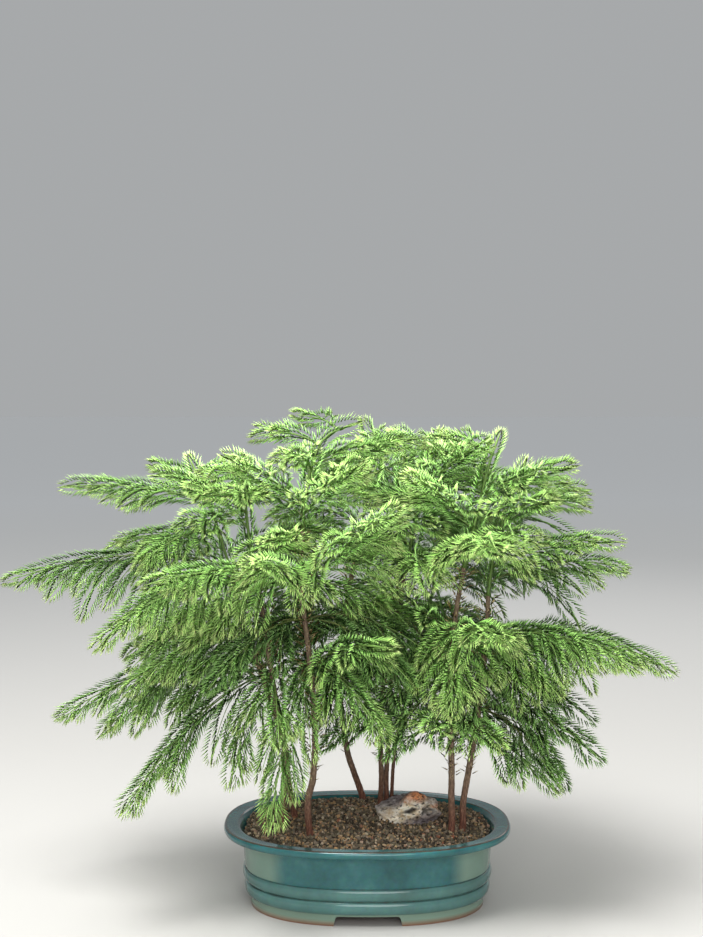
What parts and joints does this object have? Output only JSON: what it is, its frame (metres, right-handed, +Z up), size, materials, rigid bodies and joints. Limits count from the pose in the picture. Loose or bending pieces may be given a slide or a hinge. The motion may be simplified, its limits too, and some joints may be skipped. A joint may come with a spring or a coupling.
{
  "type": "norfolk island pine bonsai grove in an oval pot",
  "caption": "Grove of young conifers with whorls of arching needled fronds, growing from a soil mound with a rock in a footed oval glazed pot.",
  "frame": {"origin": "middle of the underside of the whole grove's box, at the level of the pot's feet", "axes": "+X along the grove's length, to the right in the picture; +Y to the back; +Z up"},
  "size_m": [0.6596, 0.416, 0.4768],
  "materials": {
    "glazed_stoneware": "gloss blue-green glaze that breaks brown on the rim",
    "soil_grains": "loose grey-brown grains, matte",
    "weathered_stone": "rough, rust and cream with dark pits",
    "bark": "matte, flaking",
    "needles": "soft satin green"
  },
  "bodies": {
    "root": {"pot": "glazed_stoneware", "soil": "soil_grains", "rock": "weathered_stone", "tree_1_trunk": "bark", "tree_2_trunk": "bark", "tree_3_trunk": "bark", "tree_4_trunk": "bark", "tree_5_trunk": "bark", "tree_6_trunk": "bark", "tree_7_trunk": "bark", "tree_8_trunk": "bark", "tree_9_trunk": "bark", "tree_1_low": "needles", "tree_2_low": "needles", "tree_3_low": "needles", "tree_3_high": "needles", "tree_4_low": "needles", "tree_5_low": "needles", "tree_6_low": "needles", "tree_7_low": "needles", "tree_8_low": "needles", "tree_8_high": "needles", "tree_9_low": "needles", "tree_9_high": "needles", "tree_1_mid": "needles", "tree_2_mid": "needles", "tree_3_mid": "needles", "tree_4_mid": "needles", "tree_5_mid": "needles", "tree_6_mid": "needles", "tree_7_mid": "needles", "tree_8_mid": "needles", "tree_9_mid": "needles", "tree_1_top": "needles", "tree_2_top": "needles", "tree_3_top": "needles", "tree_4_top": "needles", "tree_5_top": "needles", "tree_6_top": "needles", "tree_7_top": "needles", "tree_8_top": "needles", "tree_9_top": "needles"}
  },
  "joints": []
}
